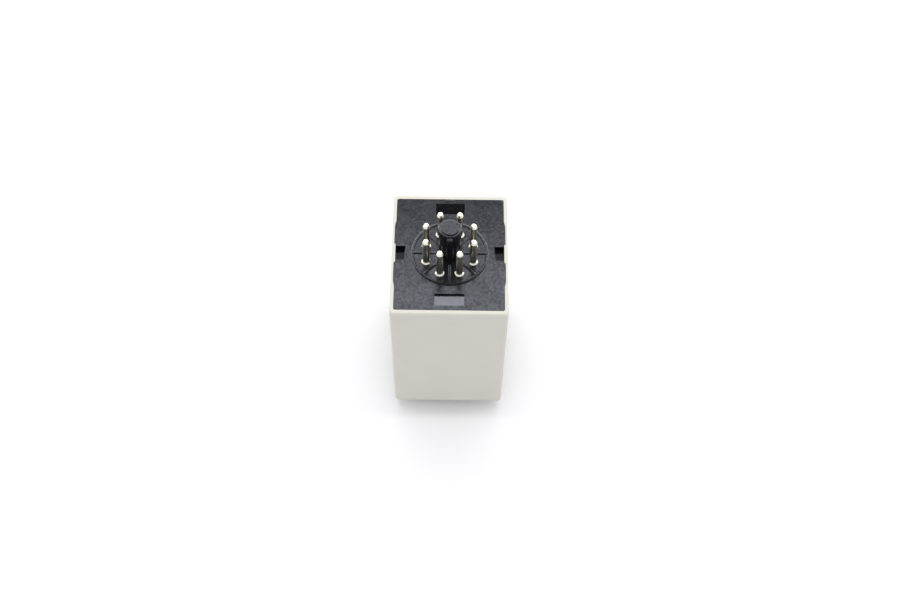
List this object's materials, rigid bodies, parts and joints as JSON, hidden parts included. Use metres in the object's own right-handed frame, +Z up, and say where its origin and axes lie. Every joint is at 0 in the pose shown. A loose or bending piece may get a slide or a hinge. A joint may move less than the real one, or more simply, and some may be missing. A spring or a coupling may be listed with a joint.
{
  "type": "timer relay",
  "caption": "Plug-in timer relay: drafted ivory case, black octal plug with keyed post and round pins, and a setting knob with signal windows on the front.",
  "frame": {"origin": "on the axis of the knob and plug, in the plane of the knob's flat face, where the part stands", "axes": "+Z up, from the knob through the case and out along the plug's pins; +X to the right and +Y away as the picture looks at it, with the key of the centre post on the -Y side"},
  "size_m": [0.04, 0.05, 0.0793],
  "materials": {
    "case_ivory": "fine satin texture, moulded",
    "plug_black": "fine spark texture, semi-gloss",
    "pin_nickel": "nickel plated, bright",
    "board_green": "solder mask",
    "core_steel": "varnished laminations",
    "bobbin_nylon": "natural nylon",
    "winding_copper": "enamelled copper wire",
    "can_sleeve": "printed sleeve left plain",
    "film_box": "moulded box",
    "part_black": "moulded package",
    "chip_ceramic": "glazed chips",
    "disc_blue": "dipped coating",
    "relay_grey": "sealed can",
    "pot_steel": "plated",
    "pot_wafer": "phenolic",
    "shaft_nylon": "moulded shaft",
    "wiper_bronze": "spring bronze",
    "lens_green": "clear moulded",
    "lens_red": "clear moulded",
    "lamp_clear": "clear resin",
    "knob_black": "satin, moulded"
  },
  "bodies": {
    "housing": {"case": "case_ivory", "plug_base": "plug_black", "pin_1": "pin_nickel", "pin_2": "pin_nickel", "pin_3": "pin_nickel", "pin_4": "pin_nickel", "pin_5": "pin_nickel", "pin_6": "pin_nickel", "pin_7": "pin_nickel", "pin_8": "pin_nickel", "base_board": "board_green", "front_board": "board_green", "power_board": "board_green", "relay_board": "board_green", "transformer_core": "core_steel", "transformer_bobbin": "bobbin_nylon", "primary_winding": "winding_copper", "secondary_winding": "winding_copper", "filter_capacitor": "can_sleeve", "timing_capacitor": "can_sleeve", "rectifier_diodes": "part_black", "surge_absorber": "disc_blue", "relay": "relay_grey", "film_capacitor": "film_box", "timer_ic": "part_black", "chip_resistors": "chip_ceramic", "relay_driver": "part_black", "power_lens": "lens_green", "power_lamp": "lamp_clear", "output_lens": "lens_red", "output_lamp": "lamp_clear", "pot_case": "pot_steel", "pot_wafer": "pot_wafer"},
    "dial": {"knob": "knob_black", "pot_shaft": "shaft_nylon", "pot_wiper": "wiper_bronze"}
  },
  "joints": [
    {"name": "time_setting", "type": "hinge", "parent": "housing", "child": "dial", "pos_m": [0, 0, 0], "axis": [0, 0, 1], "range_deg": [-135, 135]}
  ]
}
